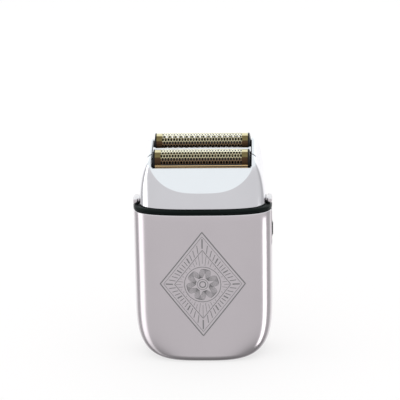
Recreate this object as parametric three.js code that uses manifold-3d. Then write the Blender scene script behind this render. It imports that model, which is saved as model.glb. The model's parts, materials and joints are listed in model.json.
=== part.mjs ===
// A pocket foil shaver: a flat metal body that stands on its base, a black seal ring, and a metal head whose
// tilted deck carries two gold foils with a comb of blades under each. Millimetres, +Z up, front towards -Y.

import * as THREE from 'three';
import { mergeVertices } from 'three/addons/utils/BufferGeometryUtils.js';
import Module from 'manifold-3d';

const wasm = await Module();
wasm.setup();

// ---- Driving dimensions ----

const GAP = 0.3; // clearance between neighbouring pieces

// Body: a superellipse in plan, with a rounder superellipse for each bottom corner seen from the front.
const BODY_HALF_WIDTH = 30.3;
const BODY_HALF_DEPTH = 15.5;
const BODY_PLAN = { front: 3, rear: 4.5, extra: 0.5 }; // powers, and how much deeper the rear half is
const BODY_TOP = 67;
const BODY_WALL = 1.6;
const BODY_FLOOR = 1.8;
const CORNER_TOP = 32; // height where the bottom corners begin
const CORNER_POWER = 4.25;
const BASE_HALF_WIDTH = 19; // half of the flat that the body stands on
const BASE_EDGE = 3; // round edge at the front and back of the base
const TOP_CHAMFER = 0.4;

const RING_BOTTOM = BODY_TOP + 0.2;
const RING_TOP = 69.2;
const SPIGOT_HALF_WIDTH = 23.8;
const SPIGOT_HALF_DEPTH = 10.5;
const SPIGOT_TOP = 71;
const SPIGOT_WALL = 1.5;
const CHASSIS_BOTTOM = 63;
const CHASSIS_TOP = 66.7;

// Head: a superellipse in plan, cut by the front facet, the rear facet and the shoulders.
const HEAD_BOTTOM = RING_TOP + GAP;
const HEAD_HALF_WIDTH = 27.9;
const HEAD_HALF_DEPTH = 14.4;
const HEAD_PLAN = { front: 3, rear: 5, extra: 0.8 };
const HEAD_WALL = 1.4;
const DECK_TILT = THREE.MathUtils.degToRad(17.2); // the deck leans towards the front
const DECK_Y = 0.758; // the point of the deck midway between the foils
const DECK_Z = 90.62;
const CHANNEL_HALF_WIDTH = 21.65; // foil channel between the two shoulders
const POCKET_FRONT = -11.75; // along the deck, from its midpoint
const POCKET_REAR = 11.6;

// Foils and cutters, in the deck's own axes: x, along the deck, and out of the deck.
const FOIL_OFFSET = 7; // each foil's centre line from the deck's midpoint
const FOIL_RADIUS = 4.2;
const FOIL_THICKNESS = 0.3;
const FOIL_CENTRE = 1.2; // height of the arch's centre above the deck
const FOIL_HALF_LENGTH = 19.9;
const FOIL_BOTTOM = -1.9;
const FOIL_TRAVEL = 1.5;
const CAP_TOP_X = 20.55;
const CAP_BASE_X = 21.3;
const BLADE_RADIUS = 3.55;
const BLADE_HALF_LENGTH = 18.2;
const BLADE_COUNT = 15;
const CASSETTE_TOP = FOIL_BOTTOM - FOIL_TRAVEL - GAP;
const CASSETTE_BOTTOM = -4.9;
const CASSETTE_FOOT = -6; // bottom of the spring wells

// Drive: a double eccentric turns in the spigot and works two carriages in opposite directions.
const STROKE = 1.2; // each carriage's travel to either side
const CAM_RADIUS = 2.9;
const LEVELS = { front: [68, 70], rear: [70.5, 72.5] };
const SHAFT_RADIUS = 1;

const BATTERY_X = -18.5;
const BATTERY_RADIUS = 7.1;
const BOSS = { radius: 2.2, hole: 1.15, bottom: 50 };
const BOSS_PLACES = [[-22.4, -9.4], [22.4, -9.4], [-24, 10.8], [24, 10.8]];

// ---- Finishes ----

const finish = (color, roughness, metalness) => ({ color, roughness, metalness });
const CHROME = finish(0xc9c6cb, 0.22, 1);
const SATIN = finish(0xbab4b8, 0.35, 1);
const GOLD = finish(0xc7a04a, 0.3, 1);
const STEEL = finish(0x9a9ca0, 0.35, 1);
const BLACK_RUBBER = finish(0x0c1513, 0.7, 0);
const BLACK_PLASTIC = finish(0x17181c, 0.45, 0);
const GREY_PLASTIC = finish(0x5c6066, 0.5, 0);
const BOARD_GREEN = finish(0x1f5a35, 0.5, 0);
const BATTERY_BLUE = finish(0x2f5f9e, 0.4, 0);
const LENS = finish(0xd8efe2, 0.15, 0);
const RED_WIRE = finish(0xa51f1b, 0.5, 0);
const BLACK_WIRE = finish(0x15151a, 0.5, 0);

// ---- Geometry helpers ----

// Turns a closed three.js geometry into a solid, leaving out triangles that have no area.
function solid(source) {
  const bare = source.clone();
  for (const name of ['normal', 'uv']) bare.deleteAttribute(name);
  const merged = mergeVertices(bare, 1e-4);
  const corners = Array.from(merged.index.array);
  const kept = [];
  for (let i = 0; i < corners.length; i += 3) {
    const [a, b, c] = corners.slice(i, i + 3);
    if (a !== b && b !== c && c !== a) kept.push(a, b, c);
  }
  const vertProperties = new Float32Array(merged.attributes.position.array);
  return new wasm.Manifold(new wasm.Mesh({ numProp: 3, vertProperties, triVerts: new Uint32Array(kept) }));
}

function geometry(shape) {
  const mesh = shape.getMesh();
  const made = new THREE.BufferGeometry();
  made.setAttribute('position', new THREE.BufferAttribute(new Float32Array(mesh.vertProperties), 3));
  made.setIndex(new THREE.BufferAttribute(new Uint32Array(mesh.triVerts), 1));
  made.computeVertexNormals();
  return made;
}

const join = (...shapes) => shapes.reduce((all, one) => all.add(one));
const cut = (shape, ...tools) => tools.reduce((left, tool) => left.subtract(tool), shape);
const common = (...shapes) => shapes.reduce((all, one) => all.intersect(one));

function box(x, y, z) {
  const made = new THREE.BoxGeometry(x[1] - x[0], y[1] - y[0], z[1] - z[0]);
  return solid(made.translate((x[0] + x[1]) / 2, (y[0] + y[1]) / 2, (z[0] + z[1]) / 2));
}

function rod(axis, radius, centre, from, to, sides = 16) {
  const made = new THREE.CylinderGeometry(radius, radius, to - from, sides);
  made.translate(0, (from + to) / 2, 0);
  if (axis === 'x') made.rotateZ(-Math.PI / 2).translate(0, centre[0], centre[1]);
  if (axis === 'y') made.translate(centre[0], 0, centre[1]);
  if (axis === 'z') made.rotateX(Math.PI / 2).translate(centre[0], centre[1], 0);
  return solid(made);
}

const outline = (points) => new THREE.Shape(points.map(([u, v]) => new THREE.Vector2(u, v)));

// An outline in X and Y, raised from one height to another.
function plate(points, from, to) {
  const made = new THREE.ExtrudeGeometry(outline(points), { depth: to - from, bevelEnabled: false });
  return solid(made.translate(0, 0, from));
}

// An outline in Y and Z, carried along X.
function bar(points, from, to) {
  const made = new THREE.ExtrudeGeometry(outline(points), { depth: to - from, bevelEnabled: false });
  const turn = new THREE.Matrix4().makeBasis(
    new THREE.Vector3(0, 1, 0), new THREE.Vector3(0, 0, 1), new THREE.Vector3(1, 0, 0));
  return solid(made.translate(0, 0, from).applyMatrix4(turn));
}

// An outline in X and Z, carried along Y.
function slab(points, from, to) {
  const made = new THREE.ExtrudeGeometry(outline(points), { depth: to - from, bevelEnabled: false });
  return solid(made.translate(0, 0, -to).rotateX(Math.PI / 2));
}

// A stack of superellipse sections, each { z, a, b }, closed at both ends.
function loft(sections, plan, sides = 48) {
  const first = sections[0];
  const last = sections[sections.length - 1];
  const stack = [{ ...first, a: 0, b: 0 }, ...sections, { ...last, a: 0, b: 0 }];
  const profile = stack.map(({ z, a }) => new THREE.Vector2(a > 0 ? 1 : 0, z));
  const made = new THREE.LatheGeometry(profile, sides);
  const place = made.attributes.position;
  for (let i = 0; i < place.count; i++) {
    const { z, a, b } = stack[i % stack.length];
    const turn = (Math.floor(i / stack.length) % sides) * 2 * Math.PI / sides;
    const rear = Math.sin(turn) > 1e-9;
    const power = rear ? plan.rear : plan.front;
    const depth = rear && b > 0 ? b + plan.extra : b;
    const pull = (value) => Math.sign(value) * Math.abs(value) ** (2 / power);
    place.setXYZ(i, a * pull(Math.cos(turn)), depth * pull(Math.sin(turn)), z);
  }
  return solid(made);
}

const tube = (a, b, plan, wall, from, to) => cut(
  loft([{ z: from, a, b }, { z: to, a, b }], plan),
  loft([{ z: from - 1, a: a - wall, b: b - wall }, { z: to + 1, a: a - wall, b: b - wall }], plan));

function along(curve, radius, steps, sides) {
  const section = [];
  for (let i = 0; i < sides; i++) {
    const turn = i * 2 * Math.PI / sides;
    section.push([radius * Math.cos(turn), radius * Math.sin(turn)]);
  }
  return solid(new THREE.ExtrudeGeometry(outline(section), { steps, extrudePath: curve }));
}

class Helix extends THREE.Curve {
  constructor(radius, height, turns) {
    super();
    Object.assign(this, { radius, height, turns });
  }

  getPoint(t, target = new THREE.Vector3()) {
    const turn = t * this.turns * 2 * Math.PI;
    return target.set(this.radius * Math.cos(turn), this.radius * Math.sin(turn), t * this.height);
  }
}

const COIL_SIDES = 5;
const COIL_STEPS = 10; // for each turn

// A coil spring that stands on z = 0.
function coil(radius, wire, height, turns) {
  const path = new Helix(radius, height - 2 * wire, turns);
  return along(path, wire, Math.round(turns * COIL_STEPS), COIL_SIDES).translate([0, 0, wire]);
}

function lead(points) {
  const path = new THREE.CatmullRomCurve3(points.map((p) => new THREE.Vector3(...p)));
  return along(path, 0.5, 4 * points.length, 6);
}

// ---- The assembly ----

const shaver = new THREE.Group();
const deck = new THREE.Group();
deck.position.set(0, DECK_Y, DECK_Z);
deck.rotation.x = DECK_TILT;
shaver.add(deck);

function place(name, shape, look, parent = shaver) {
  const mesh = new THREE.Mesh(geometry(shape), new THREE.MeshStandardMaterial(look));
  mesh.name = name;
  parent.add(mesh);
}

const toDeck = (shape) => {
  const degrees = THREE.MathUtils.radToDeg(DECK_TILT);
  return shape.rotate([degrees, 0, 0]).translate([0, DECK_Y, DECK_Z]);
};

const SIDES = [['left', -1], ['right', 1]];
const ENDS = [['front', -1], ['rear', 1]];

// ---- Body shells ----

const cornerReach = CORNER_TOP / (1 - (BASE_HALF_WIDTH / BODY_HALF_WIDTH) ** CORNER_POWER) ** (1 / CORNER_POWER);

function bodyHalfWidth(z) {
  if (z >= CORNER_TOP) return BODY_HALF_WIDTH;
  const drop = (CORNER_TOP - z) / cornerReach;
  return BODY_HALF_WIDTH * (1 - drop ** CORNER_POWER) ** (1 / CORNER_POWER);
}

function bodyHalfDepth(z) {
  if (z >= BASE_EDGE) return BODY_HALF_DEPTH;
  return BODY_HALF_DEPTH - BASE_EDGE + Math.sqrt(BASE_EDGE ** 2 - (BASE_EDGE - z) ** 2);
}

const BODY_LEVELS = [0, 0.5, 1.3, 2.2, 3.2, 5, 7.5, 11, 16, 24, CORNER_TOP];

function bodyOutside() {
  const sections = BODY_LEVELS.map((z) => ({ z, a: bodyHalfWidth(z), b: bodyHalfDepth(z) }));
  sections.push({ z: BODY_TOP - TOP_CHAMFER, a: BODY_HALF_WIDTH, b: BODY_HALF_DEPTH });
  sections.push({ z: BODY_TOP, a: BODY_HALF_WIDTH - TOP_CHAMFER, b: BODY_HALF_DEPTH - TOP_CHAMFER });
  return loft(sections, BODY_PLAN);
}

function bodyInside() {
  const sections = BODY_LEVELS.filter((z) => z !== 0.5 && z !== 2.2).map((z) => (
    { z: z + BODY_FLOOR, a: bodyHalfWidth(z) - BODY_WALL, b: bodyHalfDepth(z) - BODY_WALL }));
  const { a, b } = sections[sections.length - 1];
  sections.push({ z: BODY_TOP + 1, a, b });
  return loft(sections, BODY_PLAN);
}

const SWITCH_BOTTOM = 50.5;
const SWITCH_HALF = 5.2;
const SOCKET = { halfWidth: 4.6, halfDepth: 1.7, top: 7.4, wall: 0.4 };
const LENS_X = 8.7;
const LENS_RADIUS = 1;

// A slot with round ends, in plan.
function stadium(halfWidth, halfDepth, from, to) {
  const middle = halfWidth - halfDepth;
  return join(
    box([-middle, middle], [-halfDepth, halfDepth], [from, to]),
    rod('z', halfDepth, [-middle, 0], from, to, 16),
    rod('z', halfDepth, [middle, 0], from, to, 16));
}

function bodyShell() {
  const bosses = [];
  const holes = [];
  for (const centre of BOSS_PLACES) {
    bosses.push(rod('z', BOSS.radius, centre, BOSS.bottom, CHASSIS_BOTTOM - GAP));
    holes.push(rod('z', BOSS.hole, centre, BOSS.bottom + 3, CHASSIS_BOTTOM, 12));
  }
  const hollow = cut(bodyOutside(), bodyInside());
  const window = box([BODY_HALF_WIDTH - 6, 40], [-SWITCH_HALF, SWITCH_HALF], [SWITCH_BOTTOM, BODY_TOP + 1]);
  const socketHole = stadium(SOCKET.halfWidth + GAP, SOCKET.halfDepth + GAP, -1, BODY_FLOOR + 1);
  const lensHole = rod('z', LENS_RADIUS + GAP, [LENS_X, 0], -1, BODY_FLOOR + 1);
  return cut(join(hollow, ...bosses), ...holes, window, socketHole, lensHole);
}

function addShells() {
  const whole = bodyShell();
  const half = (from, to) => common(whole, box([-50, 50], [from, to], [-5, 90]));
  place('front_shell', half(-50, -GAP / 2), SATIN);
  place('rear_shell', half(GAP / 2, 50), SATIN);
}

// ---- Seal ring and chassis ----

function addRing() {
  const width = BODY_HALF_WIDTH - SPIGOT_HALF_WIDTH - 0.5;
  const inner = { a: SPIGOT_HALF_WIDTH + 0.5, b: SPIGOT_HALF_DEPTH + 0.5 };
  const outer = { a: inner.a + width, b: BODY_HALF_DEPTH };
  const shape = cut(
    loft([
      { z: RING_BOTTOM, a: outer.a - 0.3, b: outer.b - 0.3 },
      { z: RING_BOTTOM + 0.3, ...outer },
      { z: RING_TOP - 0.5, ...outer },
      { z: RING_TOP, a: outer.a - 0.5, b: outer.b - 0.5 }], BODY_PLAN),
    loft([{ z: RING_BOTTOM - 1, ...inner }, { z: RING_TOP + 1, ...inner }], BODY_PLAN));
  place('seal_ring', shape, BLACK_RUBBER);
}

const MOTOR_SCREW_X = 7;
const SCREW_POCKET = 65.3;

function addChassis() {
  const a = BODY_HALF_WIDTH - BODY_WALL - GAP;
  const b = BODY_HALF_DEPTH - BODY_WALL - GAP;
  const base = loft([{ z: CHASSIS_BOTTOM, a, b }, { z: CHASSIS_TOP, a, b }], BODY_PLAN);
  const wall = tube(SPIGOT_HALF_WIDTH, SPIGOT_HALF_DEPTH, BODY_PLAN, SPIGOT_WALL, CHASSIS_TOP - 0.5, SPIGOT_TOP);
  const tools = [rod('z', 4, [0, 0], CHASSIS_BOTTOM - 1, CHASSIS_TOP + 1, 24)];
  const posts = [];
  for (const side of [-1, 1]) {
    tools.push(rod('z', 1.35, [side * MOTOR_SCREW_X, 0], CHASSIS_BOTTOM - 1, CHASSIS_TOP + 1, 12));
    tools.push(rod('z', 2.2, [side * MOTOR_SCREW_X, 0], SCREW_POCKET, CHASSIS_TOP + 1, 12));
    tools.push(rod('x', 1.5, [0, SPRING_Z], side * 24 - 3, side * 24 + 3, 12));
    posts.push(box([side * 19.2 - 1, side * 19.2 + 1], [-2, 2], [CHASSIS_TOP - 0.5, SPIGOT_TOP]));
  }
  for (const centre of BOSS_PLACES) {
    tools.push(rod('z', BOSS.hole, centre, CHASSIS_BOTTOM - 1, CHASSIS_TOP + 1, 12));
    tools.push(rod('z', 1.6, centre, SCREW_POCKET, CHASSIS_TOP + 1, 12));
  }
  place('chassis', cut(join(base, wall, ...posts), ...tools), BLACK_PLASTIC);
}

function screw([x, y], shaftRadius, headRadius, bottom) {
  const head = rod('z', headRadius, [x, y], SCREW_POCKET + GAP, CHASSIS_TOP - 0.1, 12);
  const slot = box([x - 0.2, x + 0.2], [y - headRadius * 0.7, y + headRadius * 0.7], [66.2, 67]);
  return cut(join(head, rod('z', shaftRadius, [x, y], bottom, SCREW_POCKET + 0.5, 10)), slot);
}

function addScrews() {
  BOSS_PLACES.forEach((centre, i) => place(`chassis_screw_${i + 1}`, screw(centre, 0.85, 1.3, 55), STEEL));
  place('motor_screw_1', screw([-MOTOR_SCREW_X, 0], 0.9, 1.9, 59), STEEL);
  place('motor_screw_2', screw([MOTOR_SCREW_X, 0], 0.9, 1.9, 59), STEEL);
}

// ---- Motor, double eccentric, battery and boards ----

const MOTOR_RADIUS = 10;
const MOTOR_TOP = CHASSIS_BOTTOM - GAP;
const MOTOR_BOTTOM = 33;

function turned(profile, sides = 32) {
  return solid(new THREE.LatheGeometry(profile.map(([r, z]) => new THREE.Vector2(r, z)), sides).rotateX(Math.PI / 2));
}

function addMotor() {
  const can = turned([
    [0, MOTOR_BOTTOM - 1.6], [3, MOTOR_BOTTOM - 1.6], [3, MOTOR_BOTTOM], [MOTOR_RADIUS - 0.6, MOTOR_BOTTOM],
    [MOTOR_RADIUS, MOTOR_BOTTOM + 0.6], [MOTOR_RADIUS, MOTOR_TOP - 0.8], [MOTOR_RADIUS - 0.8, MOTOR_TOP],
    [0, MOTOR_TOP]]);
  const holes = [-1, 1].map((side) => rod('z', 1.25, [side * MOTOR_SCREW_X, 0], 58, MOTOR_TOP + 1, 12));
  const bore = rod('z', SHAFT_RADIUS + GAP, [0, 0], MOTOR_BOTTOM + 1, MOTOR_TOP + 1);
  place('motor_can', cut(can, bore, ...holes), STEEL);
  place('motor_shaft', rod('z', SHAFT_RADIUS, [0, 0], MOTOR_BOTTOM + 1.5, LEVELS.rear[1] - 0.9), STEEL);
  const lobe = (offset, [from, to]) => rod('z', CAM_RADIUS, [offset, 0], from, to, 24);
  const cam = join(
    rod('z', 2.2, [0, 0], CHASSIS_TOP + 0.4, LEVELS.front[0]),
    lobe(STROKE, LEVELS.front),
    rod('z', 1.7, [0, 0], LEVELS.front[1] - 0.1, LEVELS.rear[0] + 0.1),
    lobe(-STROKE, LEVELS.rear));
  place('eccentric_cam', cut(cam, rod('z', SHAFT_RADIUS + GAP, [0, 0], 60, LEVELS.rear[1] - 0.6)), BLACK_PLASTIC);
}

function addBattery() {
  const r = BATTERY_RADIUS;
  const cell = turned([
    [0, 12], [r - 0.4, 12], [r, 12.4], [r, 60.4], [r - 0.8, 61.2], [2.2, 61.2], [2.2, 62], [0, 62]]);
  place('battery_cell', cell.translate([BATTERY_X, 0, 0]), BATTERY_BLUE);
}

const BOARD_FRONT = 11;
const BOARD_BACK = 12.2;

function addBoards() {
  const board = box([-16, 16], [BOARD_FRONT, BOARD_BACK], [16, 61]);
  const chips = [
    box([-6, 0], [BOARD_FRONT - 1.2, BOARD_FRONT + 0.1], [22, 28]),
    box([4, 8], [BOARD_FRONT - 1.6, BOARD_FRONT + 0.1], [19, 24]),
    box([12, 15], [BOARD_FRONT - 2, BOARD_FRONT + 0.1], [44, 52])];
  place('main_board', join(board, ...chips), BOARD_GREEN);
  const base = box([-11, 11], [-6.5, 6.5], [7.8, 9]);
  place('charge_board', join(base, box([-9, -5], [-4, 0], [8.9, 10.6])), BOARD_GREEN);
}

function addSocket() {
  const { halfWidth, halfDepth, top, wall } = SOCKET;
  const cavity = stadium(halfWidth - wall, halfDepth - wall, -1, top - 1.2);
  const tongue = box([-3, 3], [-0.35, 0.35], [1.6, top - 1]);
  place('charge_socket', join(cut(stadium(halfWidth, halfDepth, 0.4, top), cavity), tongue), STEEL);
  const lens = join(
    rod('z', LENS_RADIUS, [LENS_X, 0], 0.2, 4),
    rod('z', LENS_RADIUS + 0.8, [LENS_X, 0], BODY_FLOOR + GAP, 4));
  place('status_lens', lens, LENS);
}

function addLeads() {
  const top = 57;
  place('motor_lead_positive', lead([[2, 4.5, 31], [3, 7.5, 29], [4, 9.4, 27.5], [4.5, 10.3, 27]]), RED_WIRE);
  place('motor_lead_negative', lead([[-2, 4.5, 31], [-5, 7.5, 30], [-8, 9.4, 31], [-9, 10.3, 32]]), BLACK_WIRE);
  place('battery_lead_positive', lead([[-16.6, 2, 62.3], [-13.5, 7, 62.2], [-13, 9.6, 60], [-13, 10.3, top]]), RED_WIRE);
  place('battery_lead_negative', lead([[-18, 0, 11.2], [-14, 5, 11.2], [-11, 9, 14.5], [-10, 10.3, 19]]), BLACK_WIRE);
}

// ---- Side switch ----

const SWITCH_TRAVEL = 4;
const SLIDER_BOTTOM = 53.8;
const SLIDER_TOP = 60.2;

function addSwitch() {
  const slot = box([20, 40], [-2.9, 2.9], [SLIDER_BOTTOM - 0.4, SLIDER_TOP + SWITCH_TRAVEL + 0.4]);
  const bezel = box([28.9, 30.15], [-4.9, 4.9], [SWITCH_BOTTOM + GAP, BODY_TOP - GAP]);
  place('switch_bezel', cut(bezel, slot), CHROME);
  const ridges = [];
  for (let z = SLIDER_BOTTOM + 1; z < SLIDER_TOP - 0.5; z += 1.1) {
    ridges.push(box([30.2, 30.75], [-2.4, 2.4], [z, z + 0.5]));
  }
  const pad = box([29.1, 30.3], [-2.5, 2.5], [SLIDER_BOTTOM, SLIDER_TOP]);
  const fork = cut(
    box([26.4, 29.3], [-1.6, 1.6], [55.4, 58.8]),
    box([26, 28.3], [-3, 3], [56.4, 57.8]));
  place('switch_slider', join(pad, fork, ...ridges), BLACK_PLASTIC);
  const lever = { bottom: 56.75, top: 57.45 };
  const track = box([24, 30], [-1.3, 1.3], [lever.bottom - GAP, lever.top + SWITCH_TRAVEL + GAP]);
  place('slide_switch', cut(box([21.4, 26], [-3, 3], [52.5, 63]), track), GREY_PLASTIC);
  place('switch_lever', box([24.3, 27.9], [-1, 1], [lever.bottom, lever.top]), BLACK_PLASTIC);
}

// ---- Release buttons ----

const BUTTON_TRAVEL = 1.5;
const BUTTON_TOP = 71.4;
const BUTTON_HALF = 4.4;
const SPRING_Z = 70.35;

function addButtons() {
  for (const [name, side] of SIDES) {
    const pad = box([28.3, 30.4], [-BUTTON_HALF, BUTTON_HALF], [HEAD_BOTTOM, BUTTON_TOP]);
    const tongue = box([25.6, 28.5], [-3, 3], [HEAD_BOTTOM, BUTTON_TOP - 0.2]);
    const whole = join(pad, tongue);
    place(`release_button_${name}`, side > 0 ? whole : whole.mirror([1, 0, 0]), SATIN);
    const spring = coil(1, 0.25, 3.2, 2.5).rotate([0, side * 90, 0]);
    place(`button_spring_${name}`, spring.translate([side * 20.6, 0, SPRING_Z]), STEEL);
  }
}

// ---- Head ----

// Shoulder outline in the deck's axes: it falls from beside the foils to the side wall.
const SHOULDER = [[27.95, -30], [27.95, -19], [27.6, -15.5], [27.15, -12.3], [26.6, -9.3], [25.9, -6.4],
  [25.1, -3.6], [24.2, -1.2], [23.4, 0.5], [22.6, 1.9], [21.6, 3]];

// Side outline in the deck's axes that rounds the shoulders' front and back ends.
const CREST = [[-30, -32], [-18, -7], [-16, -4], [-12.9, 0.2], [-11.4, 1.7], [-9.4, 2.6], [-7, 2.9],
  [8, 2.9], [10.2, 2.2], [11.9, 0.6], [12.9, -1.6], [15, -8], [18, -30]];

const FACET_FOOT = { y: -HEAD_HALF_DEPTH, z: 76.5 };
const FACET_TOP = { y: -11.3, z: 86.95 };
const REAR_FACET_FOOT = { y: HEAD_HALF_DEPTH + HEAD_PLAN.extra, z: 83 };
const REAR_FACET_TOP = { y: 12.9, z: 94.3 };

function headOutside() {
  const plan = loft([
    { z: HEAD_BOTTOM, a: HEAD_HALF_WIDTH, b: HEAD_HALF_DEPTH },
    { z: 104, a: HEAD_HALF_WIDTH, b: HEAD_HALF_DEPTH }], HEAD_PLAN, 64);
  const right = SHOULDER;
  const left = SHOULDER.map(([x, n]) => [-x, n]).reverse();
  const shoulders = toDeck(slab([...right, ...left], -25, 25));
  const crest = toDeck(bar(CREST, -35, 35));
  const reach = 3; // carries each facet's plane past the top
  const front = [FACET_TOP.y + reach * (FACET_TOP.y - FACET_FOOT.y), FACET_TOP.z + reach * (FACET_TOP.z - FACET_FOOT.z)];
  const rear = [
    REAR_FACET_TOP.y + reach * (REAR_FACET_TOP.y - REAR_FACET_FOOT.y),
    REAR_FACET_TOP.z + reach * (REAR_FACET_TOP.z - REAR_FACET_FOOT.z)];
  const facets = bar([
    [FACET_FOOT.y, 60], [REAR_FACET_FOOT.y, 60], [REAR_FACET_FOOT.y, REAR_FACET_FOOT.z], rear, front,
    [FACET_FOOT.y, FACET_FOOT.z]], -35, 35);
  return common(plan, shoulders, crest, facets);
}

const DECK_THICKNESS = 1.5;
const TAB = -5; // along the deck, the slot that a fingernail finds beside the front foil
const INSIDE = [[26.4, -60], [26.4, -19], [25.7, -12.3], [24.5, -6.4], [23.6, -3.6], [22.9, -1.5]];
const LEDGE = { inner: 20.6, outer: 25.2, half: 5, top: CASSETTE_BOTTOM - GAP, bottom: -7 };

function headCavity() {
  const a = HEAD_HALF_WIDTH - HEAD_WALL;
  const b = HEAD_HALF_DEPTH - HEAD_WALL;
  const plan = loft([{ z: HEAD_BOTTOM - 1, a, b }, { z: 104, a, b }], HEAD_PLAN, 64);
  const under = toDeck(box([-40, 40], [-40, 40], [-60, -DECK_THICKNESS]));
  const behindFacet = bar([[-13, 60], [13.8, 60], [13.8, 83], [12, 94.3], [-10.2, 88], [-13, 76.5]], -40, 40);
  const inward = toDeck(slab(
    [...INSIDE, ...INSIDE.map(([x, n]) => [-x, n]).reverse()], -40, 40));
  return common(plan, under, behindFacet, inward);
}

function addHead() {
  const channel = toDeck(box([-CHANNEL_HALF_WIDTH, CHANNEL_HALF_WIDTH], [-30, 30], [0, 20]));
  const pocket = toDeck(box([-CHANNEL_HALF_WIDTH, CHANNEL_HALF_WIDTH], [POCKET_FRONT, POCKET_REAR], [-3, 1]));
  const ledges = SIDES.map(([, side]) => toDeck(box(
    [Math.min(side * LEDGE.inner, side * LEDGE.outer), Math.max(side * LEDGE.inner, side * LEDGE.outer)],
    [-LEDGE.half, LEDGE.half], [LEDGE.bottom, LEDGE.top])));
  const tabs = SIDES.map(([, side]) => toDeck(box([side * 22.4 - 0.9, side * 22.4 + 0.9], [TAB - 0.4, TAB + 0.4], [-3, 9])));
  const notches = box([-40, 40], [-BUTTON_HALF - 0.5, BUTTON_HALF + 0.5], [60, BUTTON_TOP + 0.5]);
  const shell = cut(headOutside(), headCavity(), channel, pocket, ...tabs, notches);
  place('head_housing', join(shell, ...ledges), CHROME);
}

const ROD_RADIUS = 1;
const RODS = { front: [-5.9, 76.5], rear: [7.2, 76.5] };
const FRAME = { inner: 22.4, outer: 24, half: 8.2, bottom: 73, top: 82.4 };

function addHeadFrame() {
  const { inner, outer, half } = FRAME;
  const bridge = plate([
    [-outer, -half], [-19, -11], [19, -11], [outer, -half], [outer, half], [inner, half], [inner, -8],
    [-inner, -8], [-inner, half], [-outer, half]], 78.2, 79.6);
  const cheeks = SIDES.map(([, side]) => box(
    [Math.min(side * inner, side * outer), Math.max(side * inner, side * outer)],
    [-half, half], [FRAME.bottom, FRAME.top]));
  const holes = Object.values(RODS).map((centre) => rod('x', ROD_RADIUS + GAP, centre, -30, 30, 12));
  const lean = toDeck(box([-40, 40], [-40, 40], [CASSETTE_BOTTOM - 2.3, 20]));
  place('head_frame', cut(join(bridge, ...cheeks), ...holes, lean), BLACK_PLASTIC);
  for (const [name, centre] of Object.entries(RODS)) {
    place(`guide_rod_${name}`, rod('x', ROD_RADIUS, centre, -23.8, 23.8, 12), STEEL);
  }
}

// ---- Cutter carriages ----

const YOKE_HALF_WIDTH = CAM_RADIUS + 2 * STROKE + GAP;
const YOKE_HALF_DEPTH = CAM_RADIUS + STROKE + GAP;
const PIN_RADIUS = 1.1;
const PIN_BOTTOM = -10;
const PIN_TOP = -3.4;
const SHOULDER_TOP = -9; // the carriage's flat top, under the cutter spring

function carriage(name) {
  const [from, to] = LEVELS[name];
  const front = name === 'front';
  const yoke = front
    ? cut(
      box([-12, 12], [-7.6, YOKE_HALF_DEPTH + 1.4], [from, to]),
      box([-YOKE_HALF_WIDTH, YOKE_HALF_WIDTH], [-YOKE_HALF_DEPTH, YOKE_HALF_DEPTH], [from - 1, to + 1]))
    : cut(
      box([-12, 12], [-3.9, 7.6], [from, to]),
      box([-YOKE_HALF_WIDTH, YOKE_HALF_WIDTH], [-10, YOKE_HALF_DEPTH], [from - 1, to + 1]));
  const tower = front
    ? bar([[-7.5, to - 0.2], [-4.7, to - 0.2], [-4.7, 74], [-1.4, 76], [-1.4, 84], [-7.5, 84]], -4.5, 4.5)
    : bar([[4.8, to - 0.2], [7.5, to - 0.2], [11.8, 79], [11.8, 90], [6.6, 90], [4.8, 78]], -4.5, 4.5);
  const above = toDeck(box([-40, 40], [-40, 40], [SHOULDER_TOP, 20]));
  const pinPlace = [0, front ? -FOIL_OFFSET : FOIL_OFFSET];
  const pin = toDeck(rod('z', PIN_RADIUS, pinPlace, PIN_BOTTOM, PIN_TOP, 12));
  const bore = rod('x', ROD_RADIUS + GAP, RODS[name], -30, 30, 12);
  return join(cut(join(yoke, tower), above, bore), pin);
}

function addCarriages() {
  for (const [name] of ENDS) {
    place(`carriage_${name}`, carriage(name), GREY_PLASTIC);
  }
}

// ---- Cutters and foils, in the deck's axes ----

function arch(radius, bottom, sides = 14) {
  const points = [[radius, bottom]];
  for (let i = 0; i <= sides; i++) {
    const turn = i * Math.PI / sides;
    points.push([radius * Math.cos(turn), FOIL_CENTRE + radius * Math.sin(turn)]);
  }
  points.push([-radius, bottom]);
  return points;
}

function bladeComb() {
  const fins = [];
  const pitch = 2 * BLADE_HALF_LENGTH / BLADE_COUNT;
  for (let i = 0; i < BLADE_COUNT; i++) {
    const from = -BLADE_HALF_LENGTH + i * pitch + pitch * 0.3;
    fins.push(bar(arch(BLADE_RADIUS, 0.2, 7), from, from + pitch * 0.4));
  }
  return join(box([-BLADE_HALF_LENGTH, BLADE_HALF_LENGTH], [-1.6, 1.6], [-0.3, 1.4]), ...fins);
}

function cutterHolder() {
  const body = box([-17.5, 17.5], [-2.9, 2.9], [-2.3, -0.6]);
  const boss = rod('z', 2.3, [0, 0], -5.2, -2.2);
  return cut(join(body, boss), rod('z', PIN_RADIUS + GAP, [0, 0], -6, -1.5, 12));
}

function foilSheet() {
  const outside = bar(arch(FOIL_RADIUS, FOIL_BOTTOM), -FOIL_HALF_LENGTH, FOIL_HALF_LENGTH);
  const inside = bar(arch(FOIL_RADIUS - FOIL_THICKNESS, FOIL_BOTTOM - 1), -30, 30);
  return cut(outside, inside);
}

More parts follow.
